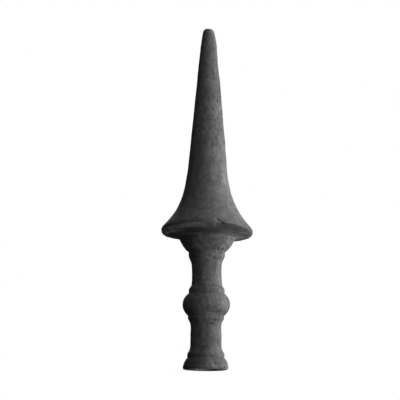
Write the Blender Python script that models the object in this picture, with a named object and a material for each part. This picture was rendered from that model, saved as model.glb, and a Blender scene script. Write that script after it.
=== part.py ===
# Fence finial: a blunt spire on a flared skirt, carried by a turned stem and cast in one piece.
# Metres, +Z up. The origin is the centre of the foot's underside, which the finial stands on.

import math

import bmesh
import bpy

# Facets round the axis, a multiple of four so that the widest points lie on X and Y
SIDES = 48

# Socket in the underside, for the round tenon or stud of the post below
SOCKET_RADIUS = 0.0080
SOCKET_DEPTH = 0.0320
SOCKET_POINT = 0.0030
SOCKET_CHAMFER = 0.0012

# Worn corners of every flat band
BAND_EASE = 0.0006

# Foot: a rounded standing edge, a bell, a flat band and a cove up to the stem
FOOT_RADIUS = 0.0194
FOOT_EDGE = 0.0019
BELL_TOP_RADIUS = 0.0162
BELL_HEIGHT = 0.0081
BELL_BULGE = 0.0008
FOOT_BAND_RADIUS = 0.0159
FOOT_BAND_HEIGHT = 0.0047
FOOT_COVE_HEIGHT = 0.0044
FOOT_COVE_HOLLOW = 0.0003

# Lower stem, a little wider at its foot
LOWER_STEM_FOOT_RADIUS = 0.0134
LOWER_STEM_HEAD_RADIUS = 0.0131
LOWER_STEM_HEIGHT = 0.0181

# Ball between two collars, each joined to the stem by a cove
LOWER_COLLAR_COVE_HEIGHT = 0.0060
LOWER_COLLAR_COVE_HOLLOW = 0.0006
LOWER_COLLAR_RADIUS = 0.0157
LOWER_COLLAR_HEIGHT = 0.0031
BALL_RADIUS = 0.0204
BALL_SEAT_RADIUS = 0.0150
BALL_HEIGHT = 0.0198
UPPER_COLLAR_RADIUS = 0.0155
UPPER_COLLAR_HEIGHT = 0.0041
UPPER_COLLAR_COVE_HEIGHT = 0.0032
UPPER_COLLAR_COVE_HOLLOW = 0.0002

# Upper stem, drawn in slightly at its middle
UPPER_STEM_RADIUS = 0.0130
UPPER_STEM_WAIST = 0.0004
UPPER_STEM_HEIGHT = 0.0183

# Neck band under the cup
NECK_COVE_HEIGHT = 0.0054
NECK_COVE_HOLLOW = 0.0001
NECK_BAND_RADIUS = 0.0157
NECK_BAND_HEIGHT = 0.0049

# Cup that carries the skirt
CUP_FOOT_RADIUS = 0.0156
CUP_TOP_RADIUS = 0.0244
CUP_HEIGHT = 0.0126
CUP_BULGE = 0.0012

# Rim of the skirt: a hollow underside, a half-round bead and a quirk above the bead
RIM_RADIUS = 0.0396
BEAD_RADIUS = 0.0040
BEAD_LOWER_ANGLE = math.radians(-79)
BEAD_UPPER_ANGLE = math.radians(45)
RIM_RISE = 0.0058
UNDERSIDE_HOLLOW = 0.0010
QUIRK_DEPTH = 0.0003

# Skirt and spire: the skirt's hollow curve runs into the spire without a corner
SKIRT_HEIGHT = 0.0466
SPIRE_FOOT_RADIUS = 0.0176
SPIRE_HEAD_RADIUS = 0.0070
SPIRE_HEIGHT = 0.1174
SPIRE_BULGE = 0.0001

# Blunt tip
TIP_RADIUS = 0.0050
TIP_HEIGHT = 0.0127
TIP_CORNER = 0.0030
TIP_CROWN = 0.0003

# Steps along each kind of curve
EDGE_STEPS = 2
COVE_STEPS = 3
BELL_STEPS = 5
BALL_STEPS = 10
STEM_STEPS = 3
CUP_STEPS = 6
UNDERSIDE_STEPS = 5
BEAD_STEPS = 7
SKIRT_STEPS = 12
SPIRE_STEPS = 5
TIP_STEPS = 3

# Old dark iron, neutral grey and dull
IRON_COLOUR = (0.10, 0.10, 0.10, 1.0)
IRON_ROUGHNESS = 0.72
IRON_METALLIC = 0.25


def arc(start, end, bulge, steps):
    """Points (radius, height) after start, up to end, of an arc that stands bulge out from its chord."""
    run, rise = end[0] - start[0], end[1] - start[1]
    chord = math.hypot(run, rise)
    half_angle = 2 * math.atan2(2 * abs(bulge), chord)
    if half_angle < 1e-6:
        shares = [(step / steps, 0.0) for step in range(1, steps + 1)]
    else:
        arc_radius = chord / (2 * math.sin(half_angle))
        shares = []
        for step in range(1, steps + 1):
            angle = half_angle * (2 * step / steps - 1)
            along = 0.5 + arc_radius * math.sin(angle) / chord
            out = arc_radius * (math.cos(angle) - math.cos(half_angle))
            shares.append((along, math.copysign(out, bulge) / chord))
    return [
        (start[0] + along * run + out * rise, start[1] + along * rise - out * run)
        for along, out in shares
    ]


def corner_bulge(radius):
    """How far a quarter round of this radius stands out from its chord."""
    return radius * (1 - math.sqrt(0.5))


def band(radius, bottom, height):
    """A flat band with its two corners eased."""
    top = bottom + height
    return [
        (radius - BAND_EASE, bottom),
        (radius, bottom + BAND_EASE),
        (radius, top - BAND_EASE),
        (radius - BAND_EASE, top),
    ]


def socket_outline():
    """From the middle of the socket's end down its wall to the mouth in the underside."""
    return [
        (0.0, SOCKET_DEPTH + SOCKET_POINT),
        (SOCKET_RADIUS, SOCKET_DEPTH),
        (SOCKET_RADIUS, SOCKET_CHAMFER),
        (SOCKET_RADIUS + SOCKET_CHAMFER, 0.0),
    ]


def foot_outline():
    edge_start = (FOOT_RADIUS - FOOT_EDGE, 0.0)
    edge_end = (FOOT_RADIUS, FOOT_EDGE)
    bell_top = (BELL_TOP_RADIUS, FOOT_EDGE + BELL_HEIGHT)
    points = [edge_start]
    points += arc(edge_start, edge_end, corner_bulge(FOOT_EDGE), EDGE_STEPS)
    points += arc(edge_end, bell_top, BELL_BULGE, BELL_STEPS)
    points += band(FOOT_BAND_RADIUS, bell_top[1], FOOT_BAND_HEIGHT)
    stem_foot = (LOWER_STEM_FOOT_RADIUS, points[-1][1] + FOOT_COVE_HEIGHT)
    points += arc(points[-1], stem_foot, -FOOT_COVE_HOLLOW, COVE_STEPS)
    return points


def ball_outline(bottom):
    """The lower stem, then the ball between its collars, up to the foot of the upper stem."""
    points = [(LOWER_STEM_HEAD_RADIUS, bottom + LOWER_STEM_HEIGHT)]
    collar_foot = (LOWER_COLLAR_RADIUS - BAND_EASE, points[-1][1] + LOWER_COLLAR_COVE_HEIGHT)
    points += arc(points[-1], collar_foot, -LOWER_COLLAR_COVE_HOLLOW, COVE_STEPS)[:-1]
    points += band(LOWER_COLLAR_RADIUS, collar_foot[1], LOWER_COLLAR_HEIGHT)
    ball_foot = (BALL_SEAT_RADIUS, points[-1][1])
    ball_head = (BALL_SEAT_RADIUS, ball_foot[1] + BALL_HEIGHT)
    points += arc(ball_foot, ball_head, BALL_RADIUS - BALL_SEAT_RADIUS, BALL_STEPS)
    points += band(UPPER_COLLAR_RADIUS, ball_head[1], UPPER_COLLAR_HEIGHT)
    stem_foot = (UPPER_STEM_RADIUS, points[-1][1] + UPPER_COLLAR_COVE_HEIGHT)
    points += arc(points[-1], stem_foot, -UPPER_COLLAR_COVE_HOLLOW, COVE_STEPS)
    return points


def cup_outline(bottom):
    """The upper stem, the neck band and the cup, up to the underside of the skirt."""
    stem_foot = (UPPER_STEM_RADIUS, bottom)
    stem_head = (UPPER_STEM_RADIUS, bottom + UPPER_STEM_HEIGHT)
    points = arc(stem_foot, stem_head, -UPPER_STEM_WAIST, STEM_STEPS)
    band_foot = (NECK_BAND_RADIUS - BAND_EASE, stem_head[1] + NECK_COVE_HEIGHT)
    points += arc(stem_head, band_foot, -NECK_COVE_HOLLOW, COVE_STEPS)[:-1]
    points += band(NECK_BAND_RADIUS, band_foot[1], NECK_BAND_HEIGHT)
    cup_foot = (CUP_FOOT_RADIUS, points[-1][1])
    cup_top = (CUP_TOP_RADIUS, cup_foot[1] + CUP_HEIGHT)
    points += arc(cup_foot, cup_top, CUP_BULGE, CUP_STEPS)
    return points


def rim_outline(bottom):
    """The hollow underside of the skirt and the half-round bead round its edge."""
    bead_centre_radius = RIM_RADIUS - BEAD_RADIUS

    def on_bead(angle, height):
        return (
            bead_centre_radius + BEAD_RADIUS * math.cos(angle),
            height + BEAD_RADIUS * math.sin(angle),
        )

    bead_centre_height = bottom + RIM_RISE
    underside_start = (CUP_TOP_RADIUS, bottom)
    bead_start = on_bead(BEAD_LOWER_ANGLE, bead_centre_height)
    points = arc(underside_start, bead_start, -UNDERSIDE_HOLLOW, UNDERSIDE_STEPS)
    for step in range(1, BEAD_STEPS + 1):
        share = step / BEAD_STEPS
        angle = BEAD_LOWER_ANGLE + share * (BEAD_UPPER_ANGLE - BEAD_LOWER_ANGLE)
        points.append(on_bead(angle, bead_centre_height))
    return points


def spire_outline(bead_top):
    """The quirk above the bead, the skirt, the spire and its blunt tip, which ends on the axis."""
    skirt_foot = (bead_top[0] - QUIRK_DEPTH, bead_top[1] + QUIRK_DEPTH)
    skirt_top = (SPIRE_FOOT_RADIUS, skirt_foot[1] + SKIRT_HEIGHT)
    skirt_run, skirt_rise = skirt_foot[0] - skirt_top[0], skirt_top[1] - skirt_foot[1]
    spire_lean = math.atan2(SPIRE_FOOT_RADIUS - SPIRE_HEAD_RADIUS, SPIRE_HEIGHT)
    turn = math.atan2(skirt_run, skirt_rise) - spire_lean
    skirt_hollow = math.hypot(skirt_run, skirt_rise) / 2 * math.tan(turn / 2)
    spire_head = (SPIRE_HEAD_RADIUS, skirt_top[1] + SPIRE_HEIGHT)
    tip_edge = (TIP_RADIUS, spire_head[1] + TIP_HEIGHT)
    crown_edge = (TIP_RADIUS - TIP_CORNER, tip_edge[1] + TIP_CORNER)
    points = [skirt_foot]
    points += arc(skirt_foot, skirt_top, -skirt_hollow, SKIRT_STEPS)
    points += arc(skirt_top, spire_head, SPIRE_BULGE, SPIRE_STEPS)
    points.append(tip_edge)
    points += arc(tip_edge, crown_edge, corner_bulge(TIP_CORNER), TIP_STEPS)
    points.append((0.0, crown_edge[1] + TIP_CROWN))
    return points


def finial_outline():
    """The whole profile as (radius, height), from the socket's end round the outside to the tip."""
    points = socket_outline()
    points += foot_outline()
    points += ball_outline(points[-1][1])
    points += cup_outline(points[-1][1])
    points += rim_outline(points[-1][1])
    points += spire_outline(points[-1])
    return points


def iron_material():
    material = bpy.data.materials.new("iron")
    material.use_nodes = True
    shader = material.node_tree.nodes["Principled BSDF"]
    shader.inputs["Base Color"].default_value = IRON_COLOUR
    shader.inputs["Roughness"].default_value = IRON_ROUGHNESS
    shader.inputs["Metallic"].default_value = IRON_METALLIC
    return material


def turned(name, outline, material):
    """A solid turned about the Z axis from an outline that starts and ends on the axis."""
    bm = bmesh.new()
    line = [bm.verts.new((radius, 0.0, height)) for radius, height in outline]
    edges = [bm.edges.new(ends) for ends in zip(line, line[1:])]
    bmesh.ops.spin(
        bm,
        geom=line + edges,
        cent=(0, 0, 0),
        axis=(0, 0, 1),
        angle=math.tau,
        steps=SIDES,
        use_merge=True,
    )
    bmesh.ops.remove_doubles(bm, verts=bm.verts, dist=1e-6)
    bmesh.ops.recalc_face_normals(bm, faces=bm.faces)
    mesh = bpy.data.meshes.new(name)
    bm.to_mesh(mesh)
    bm.free()
    mesh.materials.append(material)
    mesh.shade_smooth()
    mesh.set_sharp_from_angle(angle=math.radians(35))
    solid = bpy.data.objects.new(name, mesh)
    bpy.context.scene.collection.objects.link(solid)
    return solid


def main():
    for old in list(bpy.data.objects):
        bpy.data.objects.remove(old)
    turned("finial", finial_outline(), iron_material())


main()
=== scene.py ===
import math

import bpy
import numpy as np
from mathutils import Matrix, Vector


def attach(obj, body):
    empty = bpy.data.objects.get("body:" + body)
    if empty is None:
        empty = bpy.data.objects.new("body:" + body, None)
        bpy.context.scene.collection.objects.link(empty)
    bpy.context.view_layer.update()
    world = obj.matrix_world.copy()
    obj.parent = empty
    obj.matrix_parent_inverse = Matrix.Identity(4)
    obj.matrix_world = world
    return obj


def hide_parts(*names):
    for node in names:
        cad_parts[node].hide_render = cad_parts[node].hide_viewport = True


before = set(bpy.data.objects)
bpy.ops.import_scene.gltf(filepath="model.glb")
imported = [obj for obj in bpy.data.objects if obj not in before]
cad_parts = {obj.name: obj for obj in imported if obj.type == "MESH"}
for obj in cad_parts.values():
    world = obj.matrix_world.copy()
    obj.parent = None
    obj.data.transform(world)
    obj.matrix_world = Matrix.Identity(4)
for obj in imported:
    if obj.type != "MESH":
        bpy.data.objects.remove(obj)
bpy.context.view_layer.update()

# Fence finial in old cast iron, standing on a pale floor.
# Azimuths are in degrees, 0 at the front (-Y) and positive to the right (+X). Lengths are in metres.
# There is one piece, the casting. The CAD node gives its section, and the relief is modelled on top.

mm = 0.001
hair = 0.001 * mm          # nearer than this is the same place


def activate(piece):
    bpy.ops.object.select_all(action="DESELECT")
    piece.select_set(True)
    bpy.context.view_layer.objects.active = piece


def editAll(piece):
    activate(piece)
    bpy.ops.object.mode_set(mode="EDIT")
    bpy.ops.mesh.select_all(action="SELECT")


def leaveEdit():
    bpy.ops.object.mode_set(mode="OBJECT")


def readVectors(items, name):
    flat = np.zeros(len(items) * 3)
    items.foreach_get(name, flat)
    return flat.reshape(-1, 3)


def smoothStep(value, low, high):
    share = np.clip((value - low) / (high - low), 0, 1)
    return share * share * (3 - 2 * share)


def span(values, low, high, ease):
    # 1 from low to high, and 0 past the ease on both sides
    return smoothStep(values, low - ease, low) * (1 - smoothStep(values, high, high + ease))


def ramped(values, ramp):
    # read off a line of (value, result) points
    return np.interp(values, *zip(*ramp))


# the casting's section, read from the CAD node

casting = {
    "node": "finial",
    "name": "finial_casting",
    "sides": 52,                          # round the axis, before smoothing
    "weld": 0.01 * mm,
    "socketStep": 12 * mm,
    "fineStep": 0.35 * mm,                # the section is softened at this fineness
    "wornCorner": 0.5 * mm,               # how far wear has rounded the corners
    "crispRim": (114.5 * mm, 128 * mm),   # corners between these heights keep some of their edge
    "crispShare": 0.65,
    "cornerEase": 2 * mm,
    "longestStep": 5.2 * mm,              # along the section, before smoothing
    "stationTurn": 27,                    # degrees the section turns between two stations
    "blankEnd": 3,                        # no station this close to the pole, in fine steps
    "smoothLevels": 2,
    "skin": 0.12 * mm,                    # put back after the smoothing has drawn the form in
    "tipRise": 0.6 * mm,
    "tip": (296 * mm, 303 * mm),
    "socketRoom": (10 * mm, 40 * mm),     # reach and height that hold the whole socket
    "seatEase": (0.2 * mm, 2.2 * mm),     # relief fades in over these heights, so the seat stays flat
}


def sectionOf(node):
    # half section of the CAD node on its +X side, as (radius, height), from the socket's end to the tip
    near = {}
    corners = [vertex.co for vertex in node.data.vertices]
    for edge in node.data.edges:
        ends = [corners[index] for index in edge.vertices]
        if any(abs(end.y) > hair or end.x < -hair for end in ends):
            continue
        a, b = [(round(end.x, 6), round(end.z, 6)) for end in ends]
        if a != b:
            near.setdefault(a, set()).add(b)
            near.setdefault(b, set()).add(a)
    start = min((point for point in near if point[0] < hair), key=lambda point: point[1])
    section = [start]
    while True:
        ahead = [point for point in near[section[-1]] if point not in section[-2:]]
        if not ahead:
            return section
        section.append(ahead[0])


def evenRun(a, b, step):
    # points from a to b, without a itself, no further apart than the step
    count = max(1, math.ceil(math.dist(a, b) / step))
    shares = [index / count for index in range(1, count + 1)]
    return [(a[0] + (b[0] - a[0]) * share, a[1] + (b[1] - a[1]) * share) for share in shares]


def fineLine(outline, step):
    # the outline again, as evenly spaced points
    walked = np.concatenate(([0], np.cumsum(np.linalg.norm(np.diff(outline, axis=0), axis=1))))
    places = np.linspace(0, walked[-1], int(walked[-1] / step) + 1)
    return np.column_stack([np.interp(places, walked, outline[:, axis]) for axis in (0, 1)])


def softenedLine(line, spread):
    # a line of points blurred along its length, with both ends kept
    reach = int(3 * spread) + 1
    weights = np.exp(-0.5 * (np.arange(-reach, reach + 1) / spread) ** 2)
    weights /= weights.sum()
    before = 2 * line[0] - line[reach:0:-1]
    after = 2 * line[-1] - line[-2:-reach - 2:-1]
    long = np.vstack((before, line, after))
    return np.column_stack([np.convolve(long[:, axis], weights, "valid") for axis in (0, 1)])


def stationsAlong(line):
    # a station wherever the line has run far enough or turned enough
    steps = np.diff(line, axis=0)
    heading = np.unwrap(np.arctan2(steps[:, 1], steps[:, 0]))
    turned = np.abs(np.diff(heading, prepend=heading[0]))
    run = np.linalg.norm(steps, axis=1) / casting["longestStep"]
    spent = np.cumsum(run + np.degrees(turned) / casting["stationTurn"])
    chosen = np.nonzero(np.diff(np.floor(spent)) > 0)[0] + 1
    return [tuple(line[index]) for index in chosen if index < len(line) - casting["blankEnd"]]


def wornSection(section):
    # the socket and the seat stay true, and outside them wear has rounded every corner
    seatEnd = max(index for index, point in enumerate(section) if point[1] < casting["weld"])
    stations = [section[0]]
    for a, b in zip(section[:seatEnd], section[1:seatEnd + 1]):
        stations += evenRun(a, b, casting["socketStep"])

    line = fineLine(np.array(section[seatEnd:]), casting["fineStep"])
    soft = softenedLine(line, casting["wornCorner"] / casting["fineStep"])
    low, high = casting["crispRim"]
    keep = casting["crispShare"] * span(line[:, 1], low, high, casting["cornerEase"])
    keep = np.maximum(keep, 1 - smoothStep(line[:, 1], 0, casting["cornerEase"]))
    line = line * keep[:, None] + soft * (1 - keep[:, None])
    return stations + stationsAlong(line) + [(0.0, line[-1][1])]


def turnCasting(section):
    # a ring carried along the section, closed to a point at both ends
    first = section[1]
    bpy.ops.object.select_all(action="DESELECT")
    bpy.ops.mesh.primitive_circle_add(vertices=casting["sides"], radius=first[0], location=(0, 0, first[1]))
    piece = bpy.context.object
    piece.name = piece.data.name = casting["name"]
    bpy.ops.object.transform_apply(location=True, rotation=True, scale=True)
    editAll(piece)
    here = first
    for there in section[2:-1]:
        lift = (0, 0, there[1] - here[1])
        bpy.ops.mesh.extrude_region_move(TRANSFORM_OT_translate={"value": lift})
        grow = there[0] / here[0]
        bpy.ops.transform.resize(value=(grow, grow, 1), center_override=(0, 0, there[1]))
        here = there
    leaveEdit()
    closeEnd(piece, first, section[0][1])
    closeEnd(piece, here, section[-1][1])
    editAll(piece)
    bpy.ops.mesh.remove_doubles(threshold=casting["weld"])
    bpy.ops.mesh.normals_make_consistent(inside=False)
    leaveEdit()
    return piece


def closeEnd(piece, ring, poleHeight):
    # the end ring, drawn in to one point on the axis
    radius, height = ring
    editAll(piece)
    bpy.ops.mesh.select_all(action="DESELECT")
    leaveEdit()
    vertices = piece.data.vertices
    for vertex in vertices:
        level = abs(vertex.co.z - height) < hair
        vertex.select = level and abs(vertex.co.xy.length - radius) < casting["weld"]
    for edge in piece.data.edges:
        edge.select = all(vertices[index].select for index in edge.vertices)
    bpy.ops.object.mode_set(mode="EDIT")
    bpy.ops.mesh.extrude_region_move(TRANSFORM_OT_translate={"value": (0, 0, poleHeight - height)})
    bpy.ops.mesh.merge(type="CENTER")
    leaveEdit()


def subdivided(piece, levels):
    modifier = piece.modifiers.new("smooth", "SUBSURF")
    modifier.levels = modifier.render_levels = levels
    activate(piece)
    bpy.ops.object.modifier_apply(modifier=modifier.name)


# relief: every mask is measured once, on the plain turned form

skinSlice = 1.2 * mm       # the skin at a height is read from a slice this far up and down


class Form:
    def __init__(self, piece, section):
        self.points = readVectors(piece.data.vertices, "co")
        self.height = self.points[:, 2]
        self.reach = np.hypot(self.points[:, 0], self.points[:, 1])
        self.azimuth = np.degrees(np.arctan2(self.points[:, 0], -self.points[:, 1]))
        self.section = section

    def turn(self, azimuth):
        # how far round from an azimuth each point lies
        return (self.azimuth - azimuth + 180) % 360 - 180

    def skin(self, height):
        # the outermost reach at a height
        return self.reach[np.abs(self.height - height) < skinSlice].max()

    def outside(self):
        # 0 in the socket, and 1 elsewhere
        reach, height = casting["socketRoom"]
        return np.where((self.reach < reach) & (self.height < height), 0, 1)

    def offSeat(self):
        return smoothStep(self.height, *casting["seatEase"])


def displaced(piece, name, strength, weights, texture=None, direction="NORMAL", middle=0.0):
    modifier = piece.modifiers.new(name, "DISPLACE")
    modifier.strength = strength
    modifier.mid_level = middle
    modifier.direction = direction
    group = piece.vertex_groups.new(name=name)
    for index in np.nonzero(weights > 0.002)[0]:
        group.add([int(index)], float(weights[index]), "REPLACE")
    modifier.vertex_group = group.name
    if texture is not None:
        modifier.texture = texture
        modifier.texture_coords = "LOCAL"
    activate(piece)
    bpy.ops.object.modifier_apply(modifier=modifier.name)
    piece.vertex_groups.remove(piece.vertex_groups[name])


def shifted(piece, name, amounts, direction="NORMAL"):
    # out where the amount is above 0, and in where it is below
    for sign in (1, -1):
        share = np.clip(sign * amounts, 0, None)
        most = float(share.max())
        if most > 0:
            displaced(piece, name, sign * most, share / most, direction=direction)


def pushedOut(piece, name, amounts, form):
    # straight away from the axis
    turn = np.radians(form.azimuth)
    shifted(piece, name, amounts * np.sin(turn), "X")
    shifted(piece, name, -amounts * np.cos(turn), "Y")


# the two sides aren't quite alike: height, then how far left and right stand out, all in mm

sides = (
    (0, 0.7, 0),
    (5, 0.2, 0.3),
    (12, 0, 0.25),
    (20, 0, -0.2),
    (30, 0.2, 0.1),
    (41, 0.1, -0.35),
    (52, 0.1, 0.2),
    (62, 0, 0.3),
    (73, -0.3, 0.3),
    (88, -0.1, 0.1),
    (94, -0.1, -0.1),
    (104, 0.1, 0.4),
    (110, 0, 0.1),
    (118, 0.45, 0.55),
    (125, 0.4, 0.7),
    (130, 0.15, 0.5),
    (138, -0.3, 0),
    (146, 0, 0),
    (160, 0.45, 0.45),
    (168, 0.45, 0.15),
    (176, 0, 0),
    (189, -0.1, 0.35),
    (194, -0.1, 0.1),
    (201, 0, 0.5),
    (212, -0.25, -0.05),
    (234, -0.1, 0.25),
    (249, -0.15, 0.45),
    (256, -0.1, 0.6),
    (262, 0, 0.15),
    (272, 0, -0.25),
    (282, 0, 0.2),
    (289, 0, 0.5),
    (300, 0, 0.3),
)
sideShare = 0.9                # the side is reached at this sine of the azimuth
axisEase = (3 * mm, 6 * mm)    # and the shift fades in over this reach


def bendSides(piece, form):
    heights, lefts, rights = zip(*sides)
    across = form.points[:, 0] / np.maximum(form.reach, 1 * mm)
    right = np.interp(form.height / mm, heights, rights) * smoothStep(across, 0, sideShare)
    left = np.interp(form.height / mm, heights, lefts) * smoothStep(-across, 0, sideShare)
    skin = form.outside() * smoothStep(form.reach, *axisEase)
    shifted(piece, "skin", casting["skin"] * skin * form.offSeat())
    shifted(piece, "sides", (right - left) * mm * skin, "X")
    shifted(piece, "tip", casting["tipRise"] * smoothStep(form.height, *casting["tip"]), "Z")


# the rim: a bead that has been worn, knocked and bent

rim = {
    "height": 120.4 * mm,        # widest part of the bead
    "reach": 39.6 * mm,
    "droop": 0.9 * mm,           # the right side hangs lower and the left side sits higher
    "droopSpread": 24 * mm,
    "droopFrom": 15 * mm,
}

# on the right the bead is worn to a face that slants in below a crisp edge, and the face carries painted
# shade
bevel = {
    "turns": (26, 88, 20),       # azimuths from and to, and the ease past them
    "edge": ((5, 123.6), (23, 123.0), (35, 123.0), (47, 122.0), (66, 120.6), (88, 119.6)),
    "slant": 0.52,
    "skirt": (119.9 * mm, 135 * mm),    # the heights where the edge lies on the skirt
    "bottom": 115.5 * mm,
    "innerReach": 30 * mm,
    "paintedShadeDepths": (0.1 * mm, 0.8 * mm),
    # painted shade: the slanting face is painted darker, as the shade under the edge would leave it
    "tone": -0.42,
}


def wearBevelWithPaintedShade(piece, form):
    around = span(form.azimuth, *bevel["turns"])
    top = ramped(form.azimuth, bevel["edge"]) * mm
    low, high = bevel["skirt"]
    skirt = sorted((height, radius) for radius, height in form.section if low < height < high)
    face = ramped(top, skirt) - bevel["slant"] * (top - form.height)
    onFace = (form.height < top) & (form.height > bevel["bottom"]) & (form.reach > bevel["innerReach"])
    proud = np.where(onFace, np.clip(form.reach - face, 0, None), 0) * around
    pushedOut(piece, "bevel", -proud, form)
    print("bead worn back up to", round(proud.max() / mm, 2), "mm")
    # painted shade on the worn face, fading in as it is worn further back
    return bevel["tone"] * smoothStep(proud, *bevel["paintedShadeDepths"])


# two bands round the left of the rim, a groove with painted shade and a crown with a painted highlight
# a line is azimuth and height in mm, and a ramp is azimuth and strength
ridges = {
    "groove": {
        "line": ((-100, 119.6), (-64, 119.8), (-50, 120.8), (-40, 121.5),
                 (-30, 122.7), (-22, 123.5), (-14, 123.8), (-2, 123.6)),
        "ramp": ((-88, 0), (-66, 0.5), (-52, 1), (-30, 1), (-14, 1.25), (2, 0.5), (12, 0)),
        "halfWidth": 2.7 * mm,
        "depth": 0.95 * mm,
        # painted shade: the groove is painted darker, as its crease would be shaded
        "tone": ((0, -0.48),),
    },
    "crown": {
        "line": ((-100, 118.2), (-64, 118.3), (-50, 118.3), (-40, 118.4),
                 (-30, 119.0), (-22, 119.7), (-14, 120.9), (-4, 121.0)),
        "ramp": ((-120, 0), (-100, 1), (-12, 1), (4, 0)),
        "halfWidth": 2.2 * mm,
        "depth": -0.10 * mm,     # raised a little
        # painted highlight: the crown is painted lighter, standing in for light from the lower left
        "tone": ((-100, 1.65), (-64, 2.1), (-40, 1.875), (-30, 1.05),
                 (-21, 0.7875), (-13, 0.525), (0, 0.075)),
    },
}
ridgeFall = 1.6
ridgeReach = 34 * mm           # further in than this is no part of the bead


def cutRidges(piece, form):
    tone = np.zeros(len(form.points))
    for name, ridge in ridges.items():
        gap = (form.height - ramped(form.azimuth, ridge["line"]) * mm) / ridge["halfWidth"]
        around = ramped(form.azimuth, ridge["ramp"]) * (form.reach > ridgeReach)
        weight = around * np.exp(-ridgeFall * gap ** 2)
        shifted(piece, name, -ridge["depth"] * weight)
        # the groove adds painted shade and the crown a painted highlight
        tone += ramped(form.azimuth, ridge["tone"]) * weight
    return tone


# a short straight scratch just above the bead, from one azimuth and height to another
nick = {
    "start": (14, 125.6 * mm),
    "end": (20.5, 122.9 * mm),
    "width": 2.1 * mm,
    "core": 0.3,                 # share of the width that has the full depth
    "depth": 0.80 * mm,
    "tone": -0.46,
}


def cutNick(piece, form):
    ends = []
    for azimuth, height in (nick["start"], nick["end"]):
        skin, turn = form.skin(height), math.radians(azimuth)
        ends.append(np.array([skin * math.sin(turn), -skin * math.cos(turn), height]))
    a, b = ends
    share = np.clip((form.points - a) @ (b - a) / np.dot(b - a, b - a), 0, 1)
    gap = np.linalg.norm(form.points - (a + share[:, None] * (b - a)), axis=1)
    weights = 1 - smoothStep(gap, nick["core"] * nick["width"], nick["width"])
    shifted(piece, "nick", -nick["depth"] * weights)
    return nick["tone"] * weights


def bendRim(piece, form):
    level = np.exp(-((form.height - rim["height"]) / rim["droopSpread"]) ** 2)
    level *= smoothStep(form.reach, rim["droopFrom"], rim["reach"])
    shifted(piece, "droop", -rim["droop"] * level * form.points[:, 0] / rim["reach"], "Z")


# unevenness of the whole skin

unevenness = {
    "slump": {"grain": 24 * mm, "depth": 1, "strength": 0.50 * mm},
    "lumps": {"grain": 7.0 * mm, "depth": 2, "strength": 0.34 * mm},
    "grit": {"grain": 2.4 * mm, "depth": 1, "strength": 0.14 * mm},
}
sampleEvery = 97


def weatherRelief(piece, form):
    # the socket and the flat seat stay true
    skin = form.offSeat() * form.outside()
    for name, layer in unevenness.items():
        texture = bpy.data.textures.new(name, "CLOUDS")
        texture.noise_scale = layer["grain"]
        texture.noise_depth = layer["depth"]
        # about the texture's own mean, so that it raises as much as it sinks
        middle = float(np.mean([texture.evaluate(point)[3] for point in form.points[::sampleEvery]]))
        displaced(piece, name, layer["strength"], skin, texture, middle=middle)


# two lines of the mould's joint, hardly raised

seam = {
    "azimuths": (48, 228),
    "width": 0.9 * mm,
    "core": 0.2,
    "height": 0.12 * mm,
    "fadeIn": (132 * mm, 152 * mm),
    "fadeOut": (273 * mm, 288 * mm),
}


def raiseSeam(piece, form):
    along = smoothStep(form.height, *seam["fadeIn"]) * (1 - smoothStep(form.height, *seam["fadeOut"]))
    for azimuth in seam["azimuths"]:
        gap = np.abs(np.radians(form.turn(azimuth))) * form.reach
        ridge = 1 - smoothStep(gap, seam["core"] * seam["width"], seam["width"])
        shifted(piece, "seam", seam["height"] * along * ridge)


# pits, scratches, small raised spots and patches of tone
# azimuth, height, half width and half height in mm, tilt, depth in mm, tone (below 0 is darker)

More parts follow.
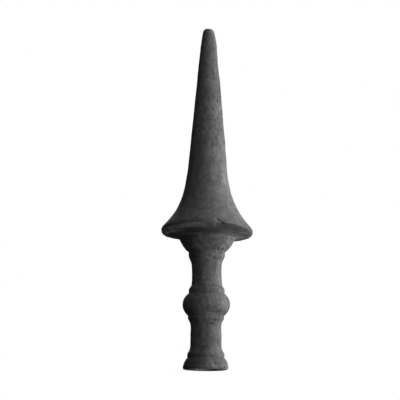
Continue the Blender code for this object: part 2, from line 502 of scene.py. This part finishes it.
marks = (
    # spire
    (19, 273.6, 2.6, 0.5, 8, 0.15, -0.16),
    (24, 264.7, 1.2, 1.2, 0, 0.35, -0.26),
    (27, 260.6, 1.2, 0.9, 0, 0.30, -0.26),
    (68, 248.2, 0.9, 4.2, 0, 0.30, -0.22),
    (2, 237.9, 1.1, 1.2, 0, 0.25, -0.18),
    (39, 235.4, 1.0, 1.6, 0, 0.30, -0.18),
    (18, 227.0, 1.1, 1.6, 0, 0.30, -0.24),
    (38, 219.7, 0.8, 1.4, 0, 0.35, -0.3),
    (-43, 223.9, 1.2, 3.0, 0, 0, 0.28),
    (14, 215.8, 2.2, 3.0, 0, 0, 0.12),
    (32, 206.7, 1.6, 1.6, 0, 0, 0.16),
    (26, 201.0, 2.0, 2.6, 0, 0.30, -0.3),
    (50, 203.3, 1.4, 1.6, 0, 0.30, -0.26),
    (13, 195.2, 2.4, 2.2, 20, 0.20, -0.16),
    (-6, 185.6, 2.0, 1.0, 0, 0, 0.14),
    (18, 185.1, 2.6, 1.0, 0, 0, 0.16),
    (44, 185.8, 2.0, 0.9, 0, 0, 0.14),
    # skirt
    (47, 167.9, 2.2, 2.6, 0, 0, 0.12),
    (66, 161.7, 1.2, 3.4, -15, 0, 0.18),
    (62, 151.0, 1.4, 3.0, -15, 0.40, -0.34),
    (6, 134.6, 2.2, 3.0, 0, 0, 0.12),
    # cup and neck band
    (51, 103.0, 1.5, 1.7, 0, 0.90, -0.55),
    (31, 103.5, 1.2, 1.2, 20, 0.50, -0.34),
    (15, 102.6, 1.1, 1.1, 0, 0.35, -0.2),
    (48, 99.9, 0.9, 1.3, 0, 0.50, -0.3),
    (26, 95.2, 2.2, 1.2, 0, 0.30, -0.16),
    (56, 95.3, 0.9, 1.2, 0, 0.40, -0.26),
    (55, 108.1, 2.6, 3.4, 0, 0, 0.25),
    (32, 100.4, 1.6, 1.0, 0, -0.20, 0.14),
    (60, 98.6, 0.9, 1.4, 0, -0.20, 0.2),
    # upper stem and upper collar
    (12, 89.6, 1.4, 2.0, 0, -0.15, 0.2),
    (41, 84.0, 1.1, 3.2, 0, -0.15, 0.22),
    (-17, 78.3, 1.6, 1.6, 0, -0.15, 0.22),
    (6, 79.6, 1.2, 2.6, 25, -0.15, 0.2),
    (48, 78.1, 0.8, 2.6, 0, -0.10, 0.2),
    (26, 79.4, 0.8, 3.0, 0, 0.15, -0.14),
    (22, 72.0, 2.4, 1.6, 0, 0.15, -0.16),
    (-10, 67.8, 3.0, 1.2, 0, 0.10, -0.14),
    (-36, 75.5, 0.9, 3.4, 0, 0.25, -0.22),
    (46, 65.1, 3.2, 0.7, 0, 0.25, -0.26),
    (49, 70.1, 0.9, 1.6, 0, 0.30, -0.2),
    # ball and lower collar
    (13, 56.0, 3.4, 3.2, 0, 0, 0.1),
    (-47, 55.6, 1.4, 2.6, 0, 0.20, -0.15),
    (45, 45.3, 1.2, 1.2, 0, 0.60, -0.34),
    (32, 41.9, 5.0, 0.6, 0, 0.25, -0.34),
    (72, 44.8, 1.0, 1.4, 0, 0.40, -0.2),
    # lower stem
    (19, 38.5, 2.4, 1.1, 8, 0.45, -0.34),
    (24, 33.7, 1.6, 2.6, 0, 0, 0.12),
    (47, 23.3, 1.6, 2.4, 30, 0.30, -0.24),
    # foot
    (-5, 18.5, 5.0, 0.8, 0, 0.15, -0.14),
    (18, 11.3, 3.6, 1.0, 0, 0.20, -0.2),
    (42, 14.7, 1.0, 1.6, 0, 0.20, 0.14),
    (15, 3.5, 2.0, 1.2, 0, -0.20, 0.10),
    (43, 4.3, 1.8, 1.4, 0, -0.20, 0.10),
    (25, 4.8, 0.8, 1.2, 0, 0.60, -0.35),
    (56, 1.3, 1.6, 1.2, 0, 0.50, -0.34),
)
marking = {
    "depth": 1.4,                # on all the depths
    "tone": 1.9,                 # on all the tones
    "under": 4 * mm,             # a mark reaches no further in than this
    "edge": (0.25, 1.15),        # a mark fades between these shares of its half size
}


def spot(form, azimuth, height, halfWidth, halfHeight, tilt):
    # 1 at a place on the skin, and 0 past an oval round it
    skin = form.skin(height)
    across = np.radians(form.turn(azimuth)) * skin
    up = form.height - height
    lean = math.radians(tilt)
    along = across * math.cos(lean) + up * math.sin(lean)
    over = up * math.cos(lean) - across * math.sin(lean)
    inward = np.clip((skin - form.reach) / marking["under"], 0, 1)
    gap = np.sqrt((along / halfWidth) ** 2 + (over / halfHeight) ** 2) + inward
    return 1 - smoothStep(gap, *marking["edge"])


def pressMarks(piece, form):
    # the marks' relief, and their tone kept for the colour
    relief = np.zeros(len(form.points))
    tone = np.zeros(len(form.points))
    for azimuth, height, halfWidth, halfHeight, tilt, depth, shade in marks:
        weight = spot(form, azimuth, height * mm, halfWidth * mm, halfHeight * mm, tilt)
        relief -= weight * depth * mm * marking["depth"]
        tone += weight * shade * marking["tone"]
    shifted(piece, "marks", relief)
    return tone


# tones laid over the casting in bands, darker or lighter; many of them are painted shade and painted light,
# named at each entry
# azimuth and tone all round, then heights and reaches in mm, each as low, high and ease

tonesAndPaintedLight = (
    # painted shade under the bead, left of the middle and at the left end
    (((-52, 0), (-36, -0.74), (-18, -0.72), (0, -0.45), (14, -0.15), (30, 0)),
     (115.8, 117.5, 0.6), (27, 38.4, 2)),
    (((-120, 0), (-85, -0.50), (-52, -0.50), (-38, 0)), (115.6, 117, 0.4), (28, 33, 2)),
    # painted shade on the bead's lower, down-facing part, at the front and on the right
    (((-14, 0), (-2, -0.25), (8, -0.42), (24, -0.36), (36, -0.1), (50, 0)),
     (118.3, 122.3, 0.8), (36, 41, 1.5)),
    (((26, 0), (36, -0.20), (50, -0.30), (80, -0.42), (100, -0.3), (130, 0)),
     (117.3, 120.6, 0.6), (36, 41, 1.5)),
    (((44, 0), (60, -0.14), (90, -0.16), (130, 0)), (117, 127, 2), (34, 42, 1.5)),
    # painted light on the hollow underside, lighter on the right where light comes up from below
    (((18, 0), (40, 1.1), (110, 1.4), (150, 0)), (115.8, 117, 0.5), (26.5, 36.6, 1)),
    (((20, 0), (40, 0.6), (60, 0.9), (110, 1.0), (150, 0)), (114, 115.6, 0.5), (22.5, 26.5, 1)),
    # cup, painted lighter on the right and at the top left: painted light from below
    (((20, 0), (45, 0.36), (90, 0.36), (130, 0)), (104, 113.6, 2), (15, 25, 1.5)),
    (((-42, 0), (-26, 0.28), (-12, 0.28), (4, 0)), (110, 115, 2), (15, 24, 1.5)),
    # neck and upper stem
    (((34, 0), (52, 0.2), (72, 0.2), (92, 0)), (78, 101, 4), (11, 18, 1.5)),
    # painted shade in the two creases at the joints of the ball
    (((-26, 0), (-6, -0.34), (28, -0.34), (44, 0)), (64.7, 65.9, 0.5), (12, 18, 1.5)),
    (((-70, 0), (-40, -0.14), (60, -0.14), (90, 0)), (48.7, 49.8, 0.6), (15, 20, 1.5)),
    # ball
    (((14, 0), (30, 0.12), (56, 0.12), (76, 0)), (50, 64, 2), (14, 24, 1)),
    (((-80, 0), (-56, -0.12), (-34, -0.12), (-18, 0)), (52, 66, 2), (14, 24, 1)),
    # lower collar
    (((-40, 0), (-14, 0.45), (55, 0.45), (80, 0)), (46.6, 48.2, 0.5), (12, 18, 1.5)),
    (((-22, 0), (-8, 0.35), (2, 0.35), (14, 0)), (42.8, 46, 0.6), (12, 18, 1.5)),
    # lower stem and foot
    (((-14, 0), (0, -0.09), (22, -0.09), (36, 0)), (24, 44, 3), (12, 24, 1)),
    (((24, 0), (44, -0.08), (100, -0.08), (130, 0)), (3, 60, 3), (11, 22, 1.5)),
    (((-24, 0), (-10, -0.32), (4, -0.32), (16, 0)), (16.6, 20.4, 1.5), (12, 18, 1.5)),
    (((-80, 0), (-50, -0.3), (0, -0.3), (20, -0.2), (50, -0.2), (64, 0)), (4, 12, 2), (14, 22, 2)),
    # the seat, rubbed bare, and also painted light standing in for light from below
    (((-30, 0.8), (10, 1.8), (60, 1.8), (120, 0.8)), (-5, 0.3, 0.6), (8, 25, 1)),
    # painted light in the socket's mouth, strongest on its right wall, filling the shade there
    (((-180, 1.2), (-90, 0.2), (90, 4.0), (180, 1.2)), (-1, 3, 1.5), (-1, 9.6, 0.3)),
    # skirt, painted lighter on its lit right side as a painted highlight, and darker on the left
    (((34, 0), (50, 0.18), (75, 0.26), (100, 0.26), (140, 0)), (129, 176, 5), (15, 41, 1)),
    (((-130, 0), (-92, -0.16), (-60, -0.16), (-44, 0)), (122, 136, 3), (24, 40, 1.5)),
    # spire
    (((0, 0), (14, 0.12), (56, 0.12), (84, 0)), (154, 196, 5), (10, 25, 1)),
    (((12, 0), (26, 0.10), (60, 0.10), (90, 0)), (182, 203, 5), (5, 18, 1)),
    (((10, 0), (22, 0.24), (48, 0.24), (76, 0)), (221, 232, 3.5), (5, 18, 1)),
    (((40, 0), (60, -0.40), (95, -0.42), (120, 0)), (240, 272, 7), (5, 14, 1)),
)


def layTonesAndPaintedLight(form):
    tone = np.zeros(len(form.points))
    for ramp, heights, reaches in tonesAndPaintedLight:
        place = span(form.height / mm, *heights) * span(form.reach / mm, *reaches)
        tone += ramped(form.azimuth, ramp) * place
    return tone


# how much of the fine grain shows, by height in mm: the skirt is the smoothest part
grain = (
    (0, 0.85), (42, 0.85), (55, 1.0), (90, 1.0), (105, 1.15),
    (118, 1.0), (124, 0.6), (188, 0.6), (206, 0.9), (304, 1.0),
)


def softened(values, pairs, count, rounds):
    # each value averaged with its neighbours' along the edges, several times over
    a, b = pairs[:, 0], pairs[:, 1]
    for _ in range(rounds):
        total = np.zeros_like(values)
        np.add.at(total, a, values[b])
        np.add.at(total, b, values[a])
        values = 0.5 * values + 0.5 * (total / count if values.ndim == 1 else total / count[:, None])
    return values


proudness = {"rounds": 14, "settle": 1}


def measureRelief(piece):
    # how far each point stands proud of, or lies below, the form around it
    points = readVectors(piece.data.vertices, "co")
    flat = np.zeros(len(piece.data.edges) * 2, dtype=np.int64)
    piece.data.edges.foreach_get("vertices", flat)
    pairs = flat.reshape(-1, 2)
    count = np.bincount(pairs.ravel(), minlength=len(points)).astype(float)
    smooth = softened(points, pairs, count, proudness["rounds"])
    proud = np.einsum("ij,ij->i", points - smooth, readVectors(piece.data.vertices, "normal"))
    return softened(proud, pairs, count, proudness["settle"])


def storeAttribute(piece, name, values):
    layer = piece.data.attributes.new(name, "FLOAT", "POINT")
    layer.data.foreach_set("value", np.asarray(values, dtype=np.float32))


# materials


def newMaterial(name):
    material = bpy.data.materials.new(name)
    material.use_nodes = True
    tree = material.node_tree
    tree.nodes.clear()
    return material, tree


def addNode(tree, kind, place, **values):
    node = tree.nodes.new(kind)
    node.location = place
    for name, value in values.items():
        setattr(node, name, value)
    return node


def attribute(tree, name, place):
    return addNode(tree, "ShaderNodeAttribute", place, attribute_name=name).outputs["Fac"]


def mapped(tree, value, source, target, place):
    node = addNode(tree, "ShaderNodeMapRange", place)
    for name, number in zip(("From Min", "From Max", "To Min", "To Max"), (*source, *target)):
        node.inputs[name].default_value = number
    tree.links.new(value, node.inputs["Value"])
    return node.outputs["Result"]


def maths(tree, operation, a, b, place):
    node = addNode(tree, "ShaderNodeMath", place, operation=operation)
    for socket, value in zip(node.inputs, (a, b)):
        if isinstance(value, (int, float)):
            socket.default_value = value
        else:
            tree.links.new(value, socket)
    return node.outputs["Value"]


def product(tree, factors, place):
    total = factors[0]
    for index, factor in enumerate(factors[1:]):
        total = maths(tree, "MULTIPLY", total, factor, (place[0] + 150 * index, place[1]))
    return total


iron = {
    "colour": 0.098,
    "roughness": (0.82, 0.66),             # in the dark blotches and in the light ones
    "noiseRange": (0.3, 0.7),
    # noises of the colour: scale, detail, roughness, and how far the tone swings to both sides of 1
    "broad": (34, 3, 0.5, 0.10),
    "blotch": (150, 4, 0.6, 0.24),
    "streak": (330, 2, 0.5, 0.12),
    "mottle": (320, 2, 0.5, 0.30),
    "speck": (1250, 3, 0.65, 0.12),
    "streakStretch": 0.14,
    "pitScale": 240,
    "pitChance": (0.70, 0.76),             # cells past the second number have a pit
    "pitEdge": (0.08, 0.26),
    "pitTone": 0.72,
    "worn": ((0.05, 0.45), (1.0, 1.15)),   # how proud in mm, and the tone
    "hollow": ((-0.45, -0.03), (0.62, 1.0)),
    "sandScale": 520,
    "dimpleScale": 420,
    "dimpleEdge": (0.05, 0.45),
    "fullGrain": 1.2,                      # the bump is at full strength where this much grain shows
    "bump": {"sand": 0.20 * mm, "speck": 0.06 * mm, "dimple": 0.05 * mm, "pit": -0.15 * mm},
}


def noiseNode(tree, coords, scale, detail, rough, place):
    node = addNode(tree, "ShaderNodeTexNoise", place)
    node.inputs["Scale"].default_value = scale
    node.inputs["Detail"].default_value = detail
    node.inputs["Roughness"].default_value = rough
    tree.links.new(coords, node.inputs["Vector"])
    return node.outputs["Fac"]


def tonedNoise(tree, coords, layer, place):
    # a noise, and the tone about 1 that it gives
    scale, detail, rough, swing = iron[layer]
    noise = noiseNode(tree, coords, scale, detail, rough, place)
    beside = (place[0] + 200, place[1])
    return noise, mapped(tree, noise, iron["noiseRange"], (1 - swing, 1 + swing), beside)


def cellDistance(tree, coords, scale, place):
    cells = addNode(tree, "ShaderNodeTexVoronoi", place)
    cells.inputs["Scale"].default_value = scale
    tree.links.new(coords, cells.inputs["Vector"])
    return cells


def pitMask(tree, coords):
    # scattered small pits, in some of the cells only
    cells = cellDistance(tree, coords, iron["pitScale"], (-900, -1200))
    chance = addNode(tree, "ShaderNodeSeparateColor", (-700, -1300))
    tree.links.new(cells.outputs["Color"], chance.inputs["Color"])
    chosen = mapped(tree, chance.outputs["Red"], iron["pitChance"], (0, 1), (-500, -1300))
    hole = mapped(tree, cells.outputs["Distance"], iron["pitEdge"], (1, 0), (-500, -1150))
    return maths(tree, "MULTIPLY", hole, chosen, (-300, -1200))


def roughSurface(tree, coords, share, speck, pit):
    # sand, specks, dimples and pits, as one bump
    dimples = cellDistance(tree, coords, iron["dimpleScale"], (-900, -1000))
    layers = {
        "sand": noiseNode(tree, coords, iron["sandScale"], 3, 0.6, (-900, -800)),
        "speck": speck,
        "dimple": mapped(tree, dimples.outputs["Distance"], iron["dimpleEdge"], (0, 1), (-700, -1000)),
        "pit": pit,
    }
    height = 0.0
    for index, (name, layer) in enumerate(layers.items()):
        part = maths(tree, "MULTIPLY", layer, iron["bump"][name], (-400 + 200 * index, -900))
        height = maths(tree, "ADD", part, height, (-300 + 200 * index, -800))
    bump = addNode(tree, "ShaderNodeBump", (700, -800))
    bump.inputs["Distance"].default_value = 1.0
    strength = mapped(tree, share, (0, iron["fullGrain"]), (0, 1), (500, -1000))
    tree.links.new(strength, bump.inputs["Strength"])
    tree.links.new(height, bump.inputs["Height"])
    return bump.outputs["Normal"]


def ironMaterial():
    material, tree = newMaterial("weathered_iron")
    output = addNode(tree, "ShaderNodeOutputMaterial", (1600, 0))
    shader = addNode(tree, "ShaderNodeBsdfPrincipled", (1300, 0))
    tree.links.new(shader.outputs["BSDF"], output.inputs["Surface"])
    coords = addNode(tree, "ShaderNodeTexCoord", (-1400, 0)).outputs["Object"]
    tall = addNode(tree, "ShaderNodeMapping", (-1200, -300))
    tall.inputs["Scale"].default_value = (1, 1, iron["streakStretch"])
    tree.links.new(coords, tall.inputs["Vector"])

    broad = tonedNoise(tree, coords, "broad", (-900, 500))[1]
    blotch = tonedNoise(tree, coords, "blotch", (-900, 300))[1]
    streak = tonedNoise(tree, tall.outputs["Vector"], "streak", (-900, 100))[1]
    mottle = tonedNoise(tree, coords, "mottle", (-900, -50))[1]
    speckNoise, speck = tonedNoise(tree, coords, "speck", (-900, -200))

    # fine grain, as strong as its share says
    share = attribute(tree, "grain", (-900, 700))
    fine = maths(tree, "SUBTRACT", maths(tree, "MULTIPLY", mottle, speck, (-500, 100)), 1.0, (-350, 100))
    fine = maths(tree, "ADD", maths(tree, "MULTIPLY", fine, share, (-200, 100)), 1.0, (-50, 100))

    # rubbed where it stands proud, dirty where it lies low, and stained in the pits
    pit = pitMask(tree, coords)
    stain = mapped(tree, pit, (0, 1), (1.0, iron["pitTone"]), (-100, -1200))
    proud = attribute(tree, "proud", (-900, -600))
    worn = mapped(tree, proud, *iron["worn"], (-700, -450))
    hollow = mapped(tree, proud, *iron["hollow"], (-700, -600))
    # the tone attribute also carries painted shade and painted light, on the rim, the joints of the ball,
    # the cup, the seat and the skirt
    tone = maths(tree, "ADD", attribute(tree, "tone", (-900, -400)), 1.0, (-700, -300))

    layers = (broad, blotch, streak, fine, worn, hollow, stain, tone, iron["colour"])
    value = product(tree, layers, (-200, 300))
    grey = addNode(tree, "ShaderNodeCombineColor", (1100, 100))
    for name in ("Red", "Green", "Blue"):
        tree.links.new(value, grey.inputs[name])
    tree.links.new(grey.outputs["Color"], shader.inputs["Base Color"])

    swing = iron["blotch"][3]
    dull = mapped(tree, blotch, (1 - swing, 1 + swing), iron["roughness"], (1000, -150))
    tree.links.new(dull, shader.inputs["Roughness"])
    tree.links.new(roughSurface(tree, coords, share, speckNoise, pit), shader.inputs["Normal"])
    return material


# stage

studio = {
    "floor": -0.2 * mm,          # a hair under the seat
    "floorSize": 60,
    "floorSeen": 0.9,
    "floorUnseen": 0.05,         # so that hardly any light comes back up from it
    "middle": (0, 0, 0.15),
    "distance": 1.3,
    # azimuth, elevation, width, tallness, power
    "lamps": {
        "window": (78, 6, 1.8, 0.9, 6.0),
        "side": (110, 4, 1.2, 0.9, 7.1),
        "skylight": (100, 48, 0.9, 0.9, 10.8),
        "front": (20, 30, 0.9, 0.9, 4.0),
        "bounce": (65, -20, 0.5, 0.5, 8.0),
        "rearBounce": (125, -12, 0.5, 0.5, 3.9),
        "back": (180, 30, 0.85, 0.85, 8),
    },
    "floorLight": {"height": 2, "softness": 70, "strength": 1.15},
    "ambient": 0.028,
    "backdrop": 1.0,
}


def grey(level):
    return level, level, level, 1


def turned(azimuth, elevation, distance, target):
    a, e = math.radians(azimuth), math.radians(elevation)
    return (
        target[0] + distance * math.sin(a) * math.cos(e),
        target[1] - distance * math.cos(a) * math.cos(e),
        target[2] + distance * math.sin(e),
    )


def aimed(item, target):
    item.rotation_mode = "QUATERNION"
    item.rotation_quaternion = (Vector(target) - item.location).to_track_quat("-Z", "Y")


def addLamp(name, azimuth, elevation, width, tallness, power, lit):
    # lights the lit things only, and only they throw its shade
    middle = studio["middle"]
    bpy.ops.object.select_all(action="DESELECT")
    bpy.ops.object.light_add(type="AREA", location=turned(azimuth, elevation, studio["distance"], middle))
    lamp = bpy.context.object
    lamp.name = name
    lamp.data.shape = "RECTANGLE"
    lamp.data.size = width
    lamp.data.size_y = tallness
    lamp.data.energy = power
    lamp.light_linking.receiver_collection = lit
    lamp.light_linking.blocker_collection = lit
    aimed(lamp, middle)


def addFloorLight(lit):
    light = studio["floorLight"]
    bpy.ops.object.select_all(action="DESELECT")
    bpy.ops.object.light_add(type="SUN", location=(0, 0, light["height"]))
    lamp = bpy.context.object
    lamp.name = "floor_light"
    lamp.data.angle = math.radians(light["softness"])
    lamp.data.energy = math.pi * light["strength"]
    lamp.light_linking.receiver_collection = lit


def lightingSet(name, members):
    collection = bpy.data.collections.new(name)
    for member in members:
        collection.objects.link(member)
    return collection


def splitBySight(tree, unseen, seen, place):
    # one shader for the camera, and one for the light that goes round
    mix = addNode(tree, "ShaderNodeMixShader", place)
    ray = addNode(tree, "ShaderNodeLightPath", (place[0] - 400, place[1] + 300))
    tree.links.new(ray.outputs["Is Camera Ray"], mix.inputs["Fac"])
    tree.links.new(unseen, mix.inputs[1])
    tree.links.new(seen, mix.inputs[2])
    return mix.outputs["Shader"]


def addFloor():
    bpy.ops.object.select_all(action="DESELECT")
    bpy.ops.mesh.primitive_plane_add(size=studio["floorSize"], location=(0, 0, studio["floor"]))
    floor = bpy.context.object
    floor.name = "floor"
    material, tree = newMaterial("pale_floor")
    output = addNode(tree, "ShaderNodeOutputMaterial", (800, 0))
    dim = addNode(tree, "ShaderNodeBsdfDiffuse", (0, 0))
    dim.inputs["Color"].default_value = grey(studio["floorUnseen"])
    pale = addNode(tree, "ShaderNodeBsdfDiffuse", (0, -200))
    pale.inputs["Color"].default_value = grey(studio["floorSeen"])
    # the photo's camera stands a little lower than the floor, which shows only from above
    below = addNode(tree, "ShaderNodeMixShader", (600, 0))
    side = addNode(tree, "ShaderNodeNewGeometry", (400, 300))
    clear = addNode(tree, "ShaderNodeBsdfTransparent", (400, -200))
    tree.links.new(side.outputs["Backfacing"], below.inputs["Fac"])
    tree.links.new(splitBySight(tree, dim.outputs["BSDF"], pale.outputs["BSDF"], (400, 0)), below.inputs[1])
    tree.links.new(clear.outputs["BSDF"], below.inputs[2])
    tree.links.new(below.outputs["Shader"], output.inputs["Surface"])
    floor.data.materials.append(material)
    return floor


def addWorld():
    world = bpy.data.worlds.new("studio")
    bpy.context.scene.world = world
    world.use_nodes = True
    tree = world.node_tree
    tree.nodes.clear()
    output = addNode(tree, "ShaderNodeOutputWorld", (600, 0))
    shaders = []
    for index, strength in enumerate((studio["ambient"], studio["backdrop"])):
        shader = addNode(tree, "ShaderNodeBackground", (0, -200 * index))
        shader.inputs["Color"].default_value = grey(1)
        shader.inputs["Strength"].default_value = strength
        shaders.append(shader.outputs["Background"])
    tree.links.new(splitBySight(tree, *shaders, (400, 0)), output.inputs["Surface"])


photoCamera = {
    "lens": 130.57,
    "sensor": 36,
    "nearest": 0.01,
    "distance": 1.25,
    "height": -83 * mm,          # just below the floor, so the foot's underside shows
    "pitch": 10.482,
    "yaw": 0.289,
    "roll": 0.55,
}


def addCamera():
    bpy.ops.object.select_all(action="DESELECT")
    bpy.ops.object.camera_add(location=(0, -photoCamera["distance"], photoCamera["height"]))
    camera = bpy.context.object
    camera.name = "photo_camera"
    camera.data.lens = photoCamera["lens"]
    camera.data.sensor_width = photoCamera["sensor"]
    camera.data.clip_start = photoCamera["nearest"]
    turn = Matrix.Rotation(math.radians(photoCamera["yaw"]), 4, "Z")
    turn = turn @ Matrix.Rotation(math.radians(90 + photoCamera["pitch"]), 4, "X")
    turn = turn @ Matrix.Rotation(math.radians(photoCamera["roll"]), 4, "Z")
    camera.rotation_mode = "QUATERNION"
    camera.rotation_quaternion = turn.to_quaternion()
    bpy.context.scene.camera = camera


section = wornSection(sectionOf(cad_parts[casting["node"]]))
print("section read and worn,", len(section), "stations")
piece = turnCasting(section)
subdivided(piece, casting["smoothLevels"])
form = Form(piece, section)
print("casting turned,", len(form.points), "points")

bendSides(piece, form)
tone = wearBevelWithPaintedShade(piece, form)
tone += cutRidges(piece, form)
tone += cutNick(piece, form)
weatherRelief(piece, form)
raiseSeam(piece, form)
tone += pressMarks(piece, form)
bendRim(piece, form)
tone += layTonesAndPaintedLight(form)
proud = measureRelief(piece)
print("relief cut, from", round(proud.min() / mm, 2), "to", round(proud.max() / mm, 2), "mm")

# the tone holds the marks and stains, and the painted shade and painted light of the rim, the cup, the
# joints, the seat and the skirt
storeAttribute(piece, "tone", tone)
storeAttribute(piece, "grain", ramped(form.height / mm, grain))
storeAttribute(piece, "proud", proud / mm)
activate(piece)
bpy.ops.object.shade_smooth()
piece.data.materials.clear()
piece.data.materials.append(ironMaterial())
print("casting finished,", sum(len(face.vertices) - 2 for face in piece.data.polygons), "triangles")

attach(piece, "root")
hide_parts(casting["node"])

floor = addFloor()
addWorld()
castingOnly = lightingSet("lit_casting", [piece])
floorOnly = lightingSet("lit_floor", [floor])
for name, lamp in studio["lamps"].items():
    addLamp(name, *lamp, castingOnly)
addFloorLight(floorOnly)
addCamera()
bpy.context.scene.view_settings.view_transform = "Standard"
print("stage set,", len(studio["lamps"]), "lamps on the casting")
